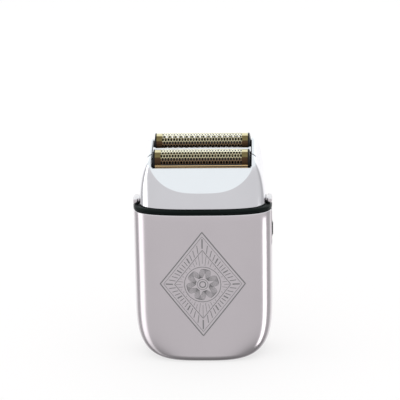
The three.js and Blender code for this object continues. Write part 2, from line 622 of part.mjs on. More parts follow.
// The end cap closes one end of a foil, and its outer face leans out towards its base.
function foilCap() {
  const top = FOIL_CENTRE + FOIL_RADIUS;
  const lean = slab([[FOIL_HALF_LENGTH + 0.05, FOIL_BOTTOM], [CAP_BASE_X, FOIL_BOTTOM], [CAP_BASE_X, 0],
    [CAP_TOP_X, top + 0.2], [FOIL_HALF_LENGTH + 0.05, top + 0.2]], -6, 6);
  return common(bar(arch(FOIL_RADIUS + 0.12, FOIL_BOTTOM), 15, 30), lean);
}

function addFoilsAndCutters() {
  for (const [name, end] of ENDS) {
    const shift = [0, end * FOIL_OFFSET, 0];
    place(`cutter_holder_${name}`, cutterHolder().translate(shift), GREY_PLASTIC, deck);
    place(`cutter_blades_${name}`, bladeComb().translate(shift), STEEL, deck);
    const spring = coil(1.9, 0.3, 1.9, 2).translate([0, end * FOIL_OFFSET, SHOULDER_TOP + 0.1]);
    place(`cutter_spring_${name}`, spring, STEEL, deck);
    place(`foil_${name}`, foilSheet().translate(shift), GOLD, deck);
    for (const [sideName, side] of SIDES) {
      const cap = side > 0 ? foilCap() : foilCap().mirror([1, 0, 0]);
      place(`foil_cap_${name}_${sideName}`, cap.translate(shift), BLACK_PLASTIC, deck);
      const rest = [side * 20.8, end * FOIL_OFFSET, CASSETTE_FOOT + 0.6];
      place(`foil_spring_${name}_${sideName}`, coil(0.6, 0.15, 1.6, 2).translate(rest), STEEL, deck);
    }
  }
}

function addCassette() {
  const tools = [];
  const wells = [];
  for (const [, end] of ENDS) {
    const y = end * FOIL_OFFSET;
    tools.push(box([-19.3, 19.3], [y - 3.4, y + 3.4], [-8, 0]));
    for (const [, side] of SIDES) {
      wells.push(rod('z', 1.4, [side * 20.8, y], CASSETTE_FOOT, CASSETTE_BOTTOM + 0.1, 14));
      tools.push(rod('z', 0.95, [side * 20.8, y], CASSETTE_FOOT + 0.5, 0, 10));
    }
  }
  const flat = box([-21.8, 21.8], [-11.4, 10.9], [CASSETTE_BOTTOM, CASSETTE_TOP]);
  const a = HEAD_HALF_WIDTH - HEAD_WALL - GAP;
  const b = HEAD_HALF_DEPTH - HEAD_WALL - GAP;
  const inside = loft([{ z: 60, a, b }, { z: 104, a, b }], HEAD_PLAN, 64);
  place('foil_cassette', common(toDeck(cut(join(flat, ...wells), ...tools)), inside), BLACK_PLASTIC);
  const strip = bar([[-1.9, CASSETTE_TOP + GAP], [1.9, CASSETTE_TOP + GAP], [1.9, 1.9], [1.2, 2.6], [-1.2, 2.6],
    [-1.9, 1.9]], -21.3, 21.3);
  place('centre_bar', strip, CHROME, deck);
}

addShells();
addRing();
addChassis();
addScrews();
addMotor();
addBattery();
addBoards();
addSocket();
addLeads();
addSwitch();
addButtons();
addHead();
addHeadFrame();
addCarriages();
addFoilsAndCutters();
addCassette();

export default shaver;
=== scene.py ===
"""A pocket foil shaver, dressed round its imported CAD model.

It has satin and bright metal, gold perforated foils, black rubber and black plastic.
Lengths are in millimetres and become metres when a mesh is made."""

import json
import math

import bmesh
import bpy
import numpy as np
from mathutils import Matrix, Quaternion, Vector


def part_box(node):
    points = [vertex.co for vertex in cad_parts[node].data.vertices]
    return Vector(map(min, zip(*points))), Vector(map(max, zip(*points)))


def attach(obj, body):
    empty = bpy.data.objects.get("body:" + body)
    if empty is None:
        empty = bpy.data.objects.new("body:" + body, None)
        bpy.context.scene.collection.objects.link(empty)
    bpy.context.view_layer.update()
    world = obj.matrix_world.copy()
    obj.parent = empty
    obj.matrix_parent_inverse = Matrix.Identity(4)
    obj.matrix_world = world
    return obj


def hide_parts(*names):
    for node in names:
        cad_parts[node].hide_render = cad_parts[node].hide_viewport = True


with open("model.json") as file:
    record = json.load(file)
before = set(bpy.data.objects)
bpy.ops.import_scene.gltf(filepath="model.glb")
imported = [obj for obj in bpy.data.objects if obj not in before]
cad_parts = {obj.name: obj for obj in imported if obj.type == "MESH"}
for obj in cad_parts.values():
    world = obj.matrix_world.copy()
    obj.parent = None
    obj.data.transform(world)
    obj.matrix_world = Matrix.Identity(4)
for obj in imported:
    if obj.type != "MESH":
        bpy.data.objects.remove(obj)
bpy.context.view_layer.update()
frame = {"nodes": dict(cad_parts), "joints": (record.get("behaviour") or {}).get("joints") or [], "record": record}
MM = 0.001


def span(node):
    """A CAD node's lowest and highest corners, in millimetres."""
    lo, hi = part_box(node)
    return Vector(lo) / MM, Vector(hi) / MM


# ---------------------------------------------------------------- camera

AIM = Vector((-1.2, 0.0, 69.8)) * MM
CAMERA_AZIMUTH = math.radians(2.4)
CAMERA_ELEVATION = math.radians(15.0)
CAMERA_ROLL = math.radians(-0.95)
CAMERA_DISTANCE = 0.7
LENS = 144.0


def make_camera():
    data = bpy.data.cameras.new("camera")
    data.lens = LENS
    data.sensor_width = 36
    camera = bpy.data.objects.new("camera", data)
    bpy.context.scene.collection.objects.link(camera)
    flat = math.cos(CAMERA_ELEVATION)
    back = Vector((
        math.sin(CAMERA_AZIMUTH) * flat, -math.cos(CAMERA_AZIMUTH) * flat, math.sin(CAMERA_ELEVATION)))
    camera.location = AIM + back * CAMERA_DISTANCE
    camera.rotation_mode = "QUATERNION"
    turn = (-back).to_track_quat("-Z", "Y")
    camera.rotation_quaternion = turn @ Quaternion((0, 0, 1), CAMERA_ROLL)
    bpy.context.scene.camera = camera


make_camera()

# ---------------------------------------------------------------- driving dimensions, as in the CAD model

BODY_HALF_WIDTH = span("front_shell")[1].x
BODY_HALF_DEPTH = -span("front_shell")[0].y
BODY_TOP = span("front_shell")[1].z
BODY_PLAN = (3.0, 4.5, 0.5)  # powers of the front and rear halves, and how much deeper the rear half is
BODY_WALL = 1.6
BODY_FLOOR = 1.8
CORNER_TOP = 32
CORNER_POWER = 4.25
BASE_HALF_WIDTH = 19
BASE_EDGE = 3.0
SEAM = 0.12

HEAD_BOTTOM = span("head_housing")[0].z
HEAD_HALF_WIDTH = 27.9
HEAD_HALF_DEPTH = 14.4
HEAD_PLAN = (3.0, 5.0, 0.8)
HEAD_WALL = 1.4
DECK_TILT = math.radians(17.2)
DECK_ORIGIN = Vector((0.0, 0.758, 90.62))
CHANNEL_HALF_WIDTH = 21.65

FOIL_OFFSET = 7.0
FOIL_RADIUS = 4.2
FOIL_CENTRE = 1.2
FOIL_HALF_LENGTH = 19.9
CAP_TOP_X = 20.55
CAP_BASE_X = 21.3
TAB = -5  # along the deck, the slot beside the front foil
FOIL_BOTTOM = -1.9

DECK = Matrix.Translation(DECK_ORIGIN) @ Matrix.Rotation(DECK_TILT, 4, "X")
SIDES = (("left", -1), ("right", 1))
ENDS = (("front", -1), ("rear", 1))

# ---------------------------------------------------------------- materials


class Nodes:
    """Short calls for building one material's node tree."""

    def __init__(self, name):
        self.material = bpy.data.materials.new(name)
        self.material.use_nodes = True
        self.tree = self.material.node_tree
        self.shader = self.tree.nodes["Principled BSDF"]
        self.coords = self.add("ShaderNodeTexCoord").outputs["Object"]

    def add(self, kind, links=(), **values):
        node = self.tree.nodes.new(kind)
        for key, value in values.items():
            setattr(node, key, value)
        for socket, source in dict(links).items():
            self.feed(node.inputs[socket], source)
        return node

    def feed(self, socket, source):
        if isinstance(source, bpy.types.NodeSocket):
            self.tree.links.new(source, socket)
        else:
            socket.default_value = source

    def set(self, **values):
        for key, value in values.items():
            self.feed(self.shader.inputs[key.replace("_", " ")], value)

    def noise(self, scale, detail=4.0, stretch=(1, 1, 1), roughness=0.6):
        place = self.add("ShaderNodeMapping", {"Vector": self.coords, "Scale": stretch})
        made = self.add("ShaderNodeTexNoise", {
            "Vector": place.outputs[0], "Scale": scale, "Detail": detail, "Roughness": roughness})
        return made.outputs[0]

    def between(self, factor, low, high):
        made = self.add("ShaderNodeMapRange", {"Value": factor, "From Min": 0.3, "From Max": 0.7,
                                               "To Min": low, "To Max": high})
        return made.outputs[0]

    def ramp(self, factor, stops):
        made = self.add("ShaderNodeValToRGB", {"Fac": factor})
        ramp = made.color_ramp
        while len(ramp.elements) < len(stops):
            ramp.elements.new(0.5)
        for element, (place, colour) in zip(ramp.elements, stops):
            element.position = place
            element.color = (*colour, 1)
        return made.outputs[0]

    def bump(self, height, strength, distance=0.0002):
        made = self.add("ShaderNodeBump", {"Height": height, "Strength": strength, "Distance": distance})
        self.feed(self.shader.inputs["Normal"], made.outputs[0])


def metal(name, dark, light, roughness, grain=(1, 1, 1), grain_scale=900, bump=0.05, anisotropic=0.0):
    """Plated or ground metal: cloudy colour, a grain in its roughness, and fine scratches."""
    n = Nodes(name)
    clouds = n.noise(45, 3)
    lines = n.noise(grain_scale, 6, grain)
    n.set(Metallic=1.0, Anisotropic=anisotropic)
    n.set(Base_Color=n.ramp(clouds, [(0.3, dark), (0.7, light)]))
    n.set(Roughness=n.between(lines, roughness - 0.035, roughness + 0.035))
    n.bump(lines, bump, 0.00002)
    return n.material


def moulded(name, dark, light, roughness, scale=1500, bump=0.25, gloss=0.5):
    """Moulded plastic or rubber with a fine spark-eroded texture."""
    n = Nodes(name)
    n.set(Base_Color=n.ramp(n.noise(60, 3), [(0.3, dark), (0.7, light)]))
    texture = n.noise(scale, 2)
    n.set(Roughness=n.between(texture, roughness - 0.06, roughness + 0.06), Specular_IOR_Level=gloss)
    n.bump(texture, bump, 0.00004)
    return n.material


def gold_foil(name, turns):
    """Gold coating with painted light: its colour follows the turn round each arch, from a painted highlight on
    the bright crown to painted shade on the brown leg.
    """
    n = Nodes(name)
    split = n.add("ShaderNodeSeparateXYZ", {"Vector": n.coords})

    def sum_of(a, b, c):
        """a times Y plus b times Z plus c."""
        part = n.add("ShaderNodeMath", {0: split.outputs["Z"], 1: b, 2: c}, operation="MULTIPLY_ADD")
        inputs = {0: split.outputs["Y"], 1: a, 2: part.outputs[0]}
        whole = n.add("ShaderNodeMath", inputs, operation="MULTIPLY_ADD")
        return whole.outputs[0]

    cos, sin = math.cos(DECK_TILT), math.sin(DECK_TILT)
    y0, z0 = DECK_ORIGIN.y * MM, DECK_ORIGIN.z * MM
    along = sum_of(cos, sin, -(y0 * cos + z0 * sin))
    out = sum_of(-sin, cos, y0 * sin - z0 * cos - FOIL_CENTRE * MM)
    side = n.add("ShaderNodeMath", {0: along}, operation="SIGN").outputs[0]
    inputs = {0: side, 1: -FOIL_OFFSET * MM, 2: along}
    local = n.add("ShaderNodeMath", inputs, operation="MULTIPLY_ADD").outputs[0]
    forward = n.add("ShaderNodeMath", {0: local, 1: -1.0}, operation="MULTIPLY").outputs[0]
    turn = n.add("ShaderNodeMath", {0: forward, 1: out}, operation="ARCTAN2").outputs[0]
    share = n.add("ShaderNodeMapRange", {"Value": turn, "From Min": -math.pi, "From Max": math.pi}).outputs[0]
    stops = [(0.5 + degrees / 360, colour) for degrees, colour in turns]
    n.set(Metallic=1.0, Base_Color=n.ramp(share, stops))
    grain = n.noise(2500, 4)
    n.set(Roughness=n.between(grain, 0.22, 0.34))
    n.bump(grain, 0.08, 0.00002)
    return n.material


# Degrees from an arch's crown towards the front, and the colour painted there: a painted highlight near the crown,
# and painted shade in dark bands towards both legs.
PLAIN_FOIL_PAINTED_LIGHT = [
    (-125, (0.16, 0.09, 0.045)), (-80, (0.36, 0.24, 0.11)), (-40, (0.60, 0.53, 0.32)),
    (11, (0.62, 0.55, 0.35)), (17, (0.125, 0.095, 0.043)), (44, (0.14, 0.11, 0.048)),
    (52, (0.055, 0.031, 0.017)), (92, (0.055, 0.031, 0.017)), (96, (0.22, 0.15, 0.07)),
    (100, (0.10, 0.055, 0.024)), (103, (0.38, 0.27, 0.155)), (128, (0.36, 0.26, 0.15))]
MESH_FOIL_PAINTED_LIGHT = [
    (-125, (0.20, 0.11, 0.055)), (-80, (0.50, 0.36, 0.18)), (-40, (0.90, 0.83, 0.60)),
    (11, (0.92, 0.87, 0.67)), (20, (0.38, 0.34, 0.235)), (48, (0.41, 0.36, 0.24)),
    (58, (0.2, 0.14, 0.088)), (90, (0.11, 0.063, 0.036))]


def etched():
    """Laser-etched metal: a dark matt oxide with fine hatching."""
    n = Nodes("etched_metal")
    hatch = n.noise(2200, 3, (1, 1, 4))
    colours = [(0.35, (0.145, 0.138, 0.142)), (0.65, (0.215, 0.205, 0.212))]
    n.set(Metallic=0.35, Base_Color=n.ramp(hatch, colours))
    n.set(Roughness=n.between(hatch, 0.5, 0.7))
    n.bump(hatch, 0.2, 0.00002)
    return n.material


def board():
    """Solder mask over copper tracks."""
    n = Nodes("circuit_board")
    tracks = n.add("ShaderNodeTexBrick", {
        "Vector": n.coords, "Scale": 160.0, "Mortar Size": 0.06, "Color1": (0.02, 0.13, 0.055, 1),
        "Color2": (0.025, 0.16, 0.07, 1), "Mortar": (0.05, 0.27, 0.10, 1)})
    n.set(Base_Color=tracks.outputs[0], Roughness=n.between(n.noise(900), 0.3, 0.45), Coat_Weight=0.4)
    n.bump(tracks.outputs["Fac"], 0.3, 0.00005)
    return n.material


def battery_sleeve():
    """Shrink sleeve with a paler band near one end."""
    n = Nodes("battery_sleeve")
    split = n.add("ShaderNodeSeparateXYZ", {"Vector": n.coords})
    lo, hi = span("battery_cell")
    along = n.add("ShaderNodeMapRange", {
        "Value": split.outputs["Z"], "From Min": lo.z * MM, "From Max": hi.z * MM})
    stops = [(0.0, (0.45, 0.46, 0.48)), (0.02, (0.05, 0.14, 0.34)), (0.78, (0.06, 0.16, 0.38)),
             (0.8, (0.75, 0.78, 0.8)), (0.86, (0.05, 0.14, 0.34)), (0.96, (0.5, 0.51, 0.52))]
    roughness = n.between(n.noise(700), 0.25, 0.4)
    n.set(Base_Color=n.ramp(along.outputs[0], stops), Roughness=roughness, Coat_Weight=0.3)
    n.bump(n.noise(150, 2), 0.1, 0.0001)
    return n.material


def lens():
    n = Nodes("clear_lens")
    n.set(Base_Color=n.ramp(n.noise(400), [(0.3, (0.7, 0.85, 0.75)), (0.7, (0.82, 0.93, 0.86))]))
    n.set(Roughness=n.between(n.noise(900), 0.06, 0.12), Coat_Weight=0.6)
    return n.material


SATIN = metal("satin_metal", (0.49, 0.455, 0.478), (0.505, 0.47, 0.492), 0.2, (1, 1, 8), 700, 0.04)
BRIGHT = metal("bright_metal", (0.60, 0.595, 0.625), (0.615, 0.61, 0.64), 0.13, (1, 1, 1), 500, 0.02)
STEEL = metal("ground_steel", (0.46, 0.47, 0.48), (0.62, 0.63, 0.64), 0.32, (12, 1, 1), 900, 0.15)
# Near-black steel for the cutter blades: painted shade for the dark inside seen through the foil holes.
CUTTER_PAINTED_SHADE = metal("cutter_steel_painted_shade", (0.016, 0.015, 0.014), (0.03, 0.028, 0.026), 0.4, (12, 1, 1), 900, 0.15)
CAN = metal("motor_plate", (0.50, 0.50, 0.49), (0.62, 0.62, 0.60), 0.3, (1, 1, 10), 600, 0.1)
# Both foil golds carry painted highlight and painted shade round each arch.
GOLD = gold_foil("gold_foil", PLAIN_FOIL_PAINTED_LIGHT)
GOLD_MESH = gold_foil("gold_mesh_painted_light", MESH_FOIL_PAINTED_LIGHT)
GOLD_ROLL = metal("gold_roll", (0.55, 0.38, 0.2), (0.62, 0.44, 0.24), 0.2, (1, 1, 1), 500, 0.02)
ETCHED = etched()
RUBBER = moulded("black_rubber", (0.001, 0.003, 0.0025), (0.002, 0.005, 0.0045), 0.34, 1200, 0.08, 0.08)
BLACK = moulded("black_plastic", (0.004, 0.004, 0.005), (0.007, 0.007, 0.008), 0.36, 1800, 0.1, 0.16)
MATT_BLACK = moulded(
    "inner_black_plastic", (0.008, 0.008, 0.009), (0.014, 0.014, 0.016), 0.5, 1800, 0.25, 0.2)
ACETAL = moulded("grey_acetal", (0.13, 0.14, 0.15), (0.18, 0.19, 0.2), 0.42, 1500, 0.2)
RED = moulded("red_insulation", (0.42, 0.02, 0.015), (0.5, 0.03, 0.02), 0.4, 2500, 0.1)
# Black insulation for the wires; also painted shade on the foils' inner faces.
WIRE_BLACK_AND_FOIL_SHADE = moulded("black_insulation", (0.012, 0.012, 0.014), (0.02, 0.02, 0.022), 0.4, 2500, 0.1)
BOARD = board()
SLEEVE = battery_sleeve()
LENS_GLASS = lens()

SLOT_LOOKS = {
    "satin_metal": SATIN, "bright_metal": BRIGHT, "gold_foil": GOLD, "steel": STEEL, "black_rubber": RUBBER,
    "black_plastic": MATT_BLACK, "grey_plastic": ACETAL, "circuit_board": BOARD, "battery_wrap": SLEEVE,
    "clear_lens": LENS_GLASS, "red_wire": RED, "black_wire": WIRE_BLACK_AND_FOIL_SHADE}

NODE_LOOKS = {"motor_can": CAN, "cutter_blades_front": CUTTER_PAINTED_SHADE, "cutter_blades_rear": CUTTER_PAINTED_SHADE}

for part in frame["record"]["subparts"]:
    node = frame["nodes"][part["node"]]
    look = NODE_LOOKS.get(part["node"], SLOT_LOOKS[part["material_slot"]])
    node.data.materials.clear()
    node.data.materials.append(look)

# ---------------------------------------------------------------- mesh helpers


def make(name, vertices, faces, look=None, smooth_angle=35):
    """A new object from points in millimetres."""
    mesh = bpy.data.meshes.new(name)
    mesh.from_pydata([tuple(MM * c for c in v) for v in vertices], [], [tuple(f) for f in faces])
    mesh.validate()
    return wrap(name, mesh, look, smooth_angle)


def wrap(name, mesh, look=None, smooth_angle=35):
    mesh.update()
    mesh.polygons.foreach_set("use_smooth", [True] * len(mesh.polygons))
    mesh.set_sharp_from_angle(angle=math.radians(smooth_angle))
    if look is not None:
        mesh.materials.append(look)
    made = bpy.data.objects.new(name, mesh)
    bpy.context.scene.collection.objects.link(made)
    return made


def bake_modifiers(obj, smooth_angle=35):
    """Replaces an object's mesh by what its modifiers make of it."""
    depsgraph = bpy.context.evaluated_depsgraph_get()
    mesh = bpy.data.meshes.new_from_object(obj.evaluated_get(depsgraph), depsgraph=depsgraph)
    obj.modifiers.clear()
    obj.data = mesh
    mesh.polygons.foreach_set("use_smooth", [True] * len(mesh.polygons))
    mesh.set_sharp_from_angle(angle=math.radians(smooth_angle))
    return obj


def boolean(obj, tool, operation="DIFFERENCE"):
    cutter = obj.modifiers.new("cut", "BOOLEAN")
    cutter.operation = operation
    cutter.solver = "EXACT"
    cutter.object = tool
    bake_modifiers(obj)
    bpy.data.objects.remove(tool)
    return obj


def bevel(obj, width, segments=3, angle=30):
    rounder = obj.modifiers.new("bevel", "BEVEL")
    rounder.width = width * MM
    rounder.segments = segments
    rounder.limit_method = "ANGLE"
    rounder.angle_limit = math.radians(angle)
    rounder.harden_normals = False
    bake_modifiers(obj, 40)
    return obj


def crease(obj, angle):
    """Shades a mesh smoothly, except where a large flat face meets others or where it really turns."""
    mesh = bmesh.new()
    mesh.from_mesh(obj.data)
    for edge in mesh.edges:
        faces = edge.link_faces
        if len(faces) != 2:
            continue
        turn = faces[0].normal.angle(faces[1].normal, 0)
        flat = max(len(f.verts) for f in faces) > 8
        edge.smooth = turn < math.radians(angle if flat else 40)
    for face in mesh.faces:
        face.smooth = True
    mesh.to_mesh(obj.data)
    mesh.free()


def finish_piece(obj, body, replaced=()):
    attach(obj, body)
    if replaced:
        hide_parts(*replaced)
    return obj


def prism(name, outline, low, high, axis="X", look=None, transform=None):
    """An outline carried along an axis. It lies in YZ for X, in XZ for Y and in XY for Z."""
    order = {
        "X": lambda u, v, w: (w, u, v),
        "Y": lambda u, v, w: (u, w, v),
        "Z": lambda u, v, w: (u, v, w)}[axis]
    count = len(outline)
    points = [Vector(order(u, v, w)) for w in (low, high) for u, v in outline]
    if transform is not None:
        points = [transform @ p for p in points]
    faces = [tuple(reversed(range(count))), tuple(range(count, 2 * count))]
    faces += [(i, (i + 1) % count, count + (i + 1) % count, count + i) for i in range(count)]
    made = make(name, points, faces, look)
    fix_normals(made)
    return made


def fix_normals(obj):
    mesh = bmesh.new()
    mesh.from_mesh(obj.data)
    bmesh.ops.remove_doubles(mesh, verts=mesh.verts, dist=1e-7)
    bmesh.ops.recalc_face_normals(mesh, faces=mesh.faces)
    mesh.to_mesh(obj.data)
    mesh.free()


def block(name, x, y, z, look=None, transform=None):
    outline = [(y[0], z[0]), (y[1], z[0]), (y[1], z[1]), (y[0], z[1])]
    return prism(name, outline, x[0], x[1], "X", look, transform)


def superellipse(turn, a, b, plan):
    """A point of a plan section, whose rear half has its own power and depth."""
    rear = math.sin(turn) > 1e-9
    power = plan[1] if rear else plan[0]
    depth = b + plan[2] if rear and b > 0 else b

    def pull(value):
        return math.copysign(abs(value) ** (2 / power), value)

    return a * pull(math.cos(turn)), depth * pull(math.sin(turn))


def even_turns(a, b, plan, count):
    """Turns that space a section's points evenly along it, starting and ending at the right-hand side."""
    fine = np.linspace(0, 2 * math.pi, 6001)
    points = np.array([superellipse(t, a, b, plan) for t in fine[:-1]] + [superellipse(0, a, b, plan)])
    length = np.concatenate([[0], np.cumsum(np.hypot(*np.diff(points, axis=0).T))])
    return np.interp(np.linspace(0, length[-1], count + 1), length, fine)[:-1]


def loft(name, sections, plan, count=192, look=None):
    """A closed stack of sections (z, half-width, half-depth)."""
    widest = max(sections, key=lambda s: s[1])
    turns = even_turns(widest[1], widest[2], plan, count)
    points = []
    for z, a, b in sections:
        points += [(*superellipse(t, a, b, plan), z) for t in turns]
    faces = [tuple(reversed(range(count)))]
    for ring in range(len(sections) - 1):
        for i in range(count):
            low, high = ring * count, (ring + 1) * count
            j = (i + 1) % count
            faces.append((low + i, low + j, high + j, high + i))
    faces.append(tuple(range((len(sections) - 1) * count, len(sections) * count)))
    return make(name, points, faces, look)


# ---------------------------------------------------------------- body shells

CORNER_REACH = CORNER_TOP / (1 - (BASE_HALF_WIDTH / BODY_HALF_WIDTH) ** CORNER_POWER) ** (1 / CORNER_POWER)


def body_half_width(z):
    if z >= CORNER_TOP:
        return BODY_HALF_WIDTH
    drop = (CORNER_TOP - z) / CORNER_REACH
    return BODY_HALF_WIDTH * (1 - drop ** CORNER_POWER) ** (1 / CORNER_POWER)


def body_half_depth(z):
    if z >= BASE_EDGE:
        return BODY_HALF_DEPTH
    return BODY_HALF_DEPTH - BASE_EDGE + math.sqrt(BASE_EDGE ** 2 - (BASE_EDGE - z) ** 2)


def body_levels(count=64):
    """Heights that crowd towards the base, where the outline turns fastest."""
    return [CORNER_TOP * (i / count) ** 2.2 for i in range(count + 1)]


def edge_round(radius, steps=5):
    """Steps of a quarter round: how far in, and how far below the edge."""
    turns = [math.pi / 2 * i / steps for i in range(steps + 1)]
    return [(radius * (1 - math.cos(t)), radius * (1 - math.sin(t))) for t in turns]


def body_outside(name):
    sections = [(z, body_half_width(z), body_half_depth(z)) for z in body_levels()]
    sections += [(z, BODY_HALF_WIDTH, BODY_HALF_DEPTH) for z in (42, 48, 54, 60, 64)]
    for inset, below in edge_round(0.45):
        sections.append((BODY_TOP - below, BODY_HALF_WIDTH - inset, BODY_HALF_DEPTH - inset))
    return loft(name, sections, BODY_PLAN, look=SATIN)


def body_inside():
    sections = [(z + BODY_FLOOR, body_half_width(z) - BODY_WALL, body_half_depth(z) - BODY_WALL)
                for z in body_levels(20)]
    sections.append((BODY_TOP + 2, BODY_HALF_WIDTH - BODY_WALL, BODY_HALF_DEPTH - BODY_WALL))
    return loft("inside", sections, BODY_PLAN, 96)


def rounded_rectangle(half_u, half_v, radius, centre=(0, 0), steps=6):
    points = []
    for quarter, (su, sv) in enumerate(((1, 1), (-1, 1), (-1, -1), (1, -1))):
        for i in range(steps + 1):
            turn = math.pi / 2 * (quarter + i / steps)
            points.append((centre[0] + su * (half_u - radius) + radius * math.cos(turn),
                           centre[1] + sv * (half_v - radius) + radius * math.sin(turn)))
    return points


def make_shells():
    bezel_lo, bezel_hi = span("switch_bezel")
    _, socket_hi = span("charge_socket")
    lens_lo, lens_hi = span("status_lens")
    lens_centre = (lens_lo + lens_hi) / 2
    for name, low, high in (("front_shell", -40, -SEAM), ("rear_shell", SEAM, 40)):
        shell = body_outside(name + "_piece")
        boolean(shell, body_inside())
        boolean(shell, block("keep", (-50, 50), (low, high), (-5, 90)), "INTERSECT")
        window = rounded_rectangle((bezel_hi.y - bezel_lo.y) / 2 + 0.15, 20, 0.9, (0, bezel_lo.z + 20 - 0.15))
        boolean(shell, prism("window", window, 20, 40, "X"))
        mouth = rounded_rectangle(socket_hi.x + 0.2, socket_hi.y + 0.2, socket_hi.y + 0.15)
        boolean(shell, prism("mouth", mouth, -2, 6, "Z"))
        hole = rounded_rectangle(1.15, 1.15, 1.14, (lens_centre.x, 0))
        boolean(shell, prism("hole", hole, -2, 6, "Z"))
        finish_piece(shell, "body", (name,))


# ---------------------------------------------------------------- seal ring


def make_ring():
    """A rubber lip with a rounded outer edge and a shallow groove near its foot."""
    lo, hi = span("seal_ring")
    a, b = BODY_HALF_WIDTH, BODY_HALF_DEPTH
    height = hi.z - lo.z
    profile = [(0.0, 0.45), (0.1, 0.2), (0.25, 0.05), (0.45, 0.0), (0.62, 0.06), (0.7, 0.16), (0.78, 0.06),
               (0.95, 0.0), (1.3, 0.0), (1.5, 0.06), (1.7, 0.2), (1.85, 0.42), (2.0, 0.8)]
    outer = [(lo.z + rise / 2.0 * height, a - inset, b - inset) for rise, inset in profile]
    inner_a, inner_b = 24.3, 11.0
    ring = loft("seal_ring_piece", outer, BODY_PLAN, 240, RUBBER)
    boolean(ring, loft("bore", [(lo.z - 1, inner_a, inner_b), (hi.z + 1, inner_a, inner_b)], BODY_PLAN, 120))
    finish_piece(ring, "body", ("seal_ring",))


# ---------------------------------------------------------------- head

FACET = ((-14.4, 76.5), (-11.3, 86.95))
REAR_FACET = ((15.2, 83.0), (12.9, 94.3))
SHOULDER = ((28.6, -30), (28.6, -21), (28.0, -15.5), (27.5, -12.3), (26.9, -9.3), (26.2, -6.4), (25.4, -3.6),
            (24.5, -1.2), (23.7, 0.5), (22.8, 1.95), (21.65, 3.05), (20.5, 3.6))
CREST = ((-33, -32), (-20.5, -8.5), (-17.3, -4.2), (-13.3, 0.4), (-11.5, 1.85), (-9.4, 2.7), (-7, 2.95),
         (8, 2.95), (10.3, 2.3), (12.2, 0.7), (13.4, -1.6), (16, -8), (20, -30))
FILLET = 1.7  # how far the wall, the shoulders and their ends run into each other


def rounded(chain, times=2):
    """Cuts a chain's corners, so that it turns in small steps."""
    for _ in range(times):
        cut = [chain[0]]
        for (u0, v0), (u1, v1) in zip(chain, chain[1:]):
            cut += [
                (0.75 * u0 + 0.25 * u1, 0.75 * v0 + 0.25 * v1),
                (0.25 * u0 + 0.75 * u1, 0.25 * v0 + 0.75 * v1)]
        chain = cut + [chain[-1]]
    return chain


def half_planes(chain):
    """For each step of a convex chain, its outward normal and offset, with the solid on the left."""
    planes = []
    for (u0, v0), (u1, v1) in zip(chain, chain[1:]):
        normal = np.array([v1 - v0, u0 - u1], float)
        normal /= np.hypot(*normal)
        planes.append((normal, normal @ (u0, v0)))
    return planes


def smooth_max(a, b, width):
    """The larger of two values, rounded where they are closer than a width."""
    near = np.maximum(width - np.abs(a - b), 0) / width
    return np.maximum(a, b) + near * near * width / 4


def head_field(points):
    """Distance-like value, negative inside the head's outside surface before its facets are cut."""
    x, y, z = points.T
    dy, dz = y - DECK_ORIGIN.y, z - DECK_ORIGIN.z
    t = dy * math.cos(DECK_TILT) + dz * math.sin(DECK_TILT)
    n = -dy * math.sin(DECK_TILT) + dz * math.cos(DECK_TILT)
    rear = y > 0
    power = np.where(rear, HEAD_PLAN[1], HEAD_PLAN[0])
    depth = np.where(rear, HEAD_HALF_DEPTH + HEAD_PLAN[2], HEAD_HALF_DEPTH)
    radius = (np.abs(x / HEAD_HALF_WIDTH) ** power + np.abs(y / depth) ** power) ** (1 / power)
    walls = np.hypot(x, y) * (1 - 1 / np.maximum(radius, 1e-6))
    shoulder = np.full(len(x), -1e9)
    for normal, offset in half_planes(rounded(SHOULDER)):
        shoulder = np.maximum(shoulder, normal[0] * np.abs(x) + normal[1] * n - offset)
    crest = np.full(len(x), -1e9)
    for normal, offset in half_planes(rounded(CREST)):
        crest = np.maximum(crest, offset - normal[0] * t - normal[1] * n)
    return np.maximum(smooth_max(smooth_max(shoulder, crest, FILLET), walls, FILLET), HEAD_BOTTOM - 3 - z)


CUBE_CUTS = 96


def head_outside():
    """Rays from the head's middle meet its surface, on a grid stretched to the head's proportions."""
    middle = np.array([0.0, 0.3, 80.0])
    stretch = np.array([26.0, 12.0, 12.0])
    cube = bmesh.new()
    bmesh.ops.create_cube(cube, size=2)
    bmesh.ops.subdivide_edges(cube, edges=cube.edges, cuts=CUBE_CUTS, use_grid_fill=True)
    grid = np.array([v.co for v in cube.verts])
    faces = [[v.index for v in f.verts] for f in cube.faces]
    cube.free()
    rays = np.tan(grid * math.pi / 4 * 0.999) * stretch
    rays /= np.linalg.norm(rays, axis=1)[:, None]
    low, high = np.zeros(len(rays)), np.full(len(rays), 60.0)
    for _ in range(26):
        mid = (low + high) / 2
        outside = head_field(middle + rays * mid[:, None]) > 0
        high = np.where(outside, mid, high)
        low = np.where(outside, low, mid)
    return make("head_housing_piece", middle + rays * low[:, None], faces, BRIGHT, 80)


def cut_facet(head, foot, top, outward):
    """Planes off everything outside the line from foot to top, which runs from side to side."""
    (y0, z0), (y1, z1) = foot, top
    lower = (y0 - 2 * (y1 - y0), z0 - 2 * (z1 - z0))
    upper = (y1 + 2 * (y1 - y0), z1 + 2 * (z1 - z0))
    outline = [lower, upper, (upper[0] + outward * 30, upper[1]), (lower[0] + outward * 30, lower[1])]
    boolean(head, prism("facet", outline, -40, 40, "X"))


INSIDE = [(26.4, -60), (26.4, -19), (25.7, -12.3), (24.5, -6.4), (23.6, -3.6), (22.9, -1.5)]


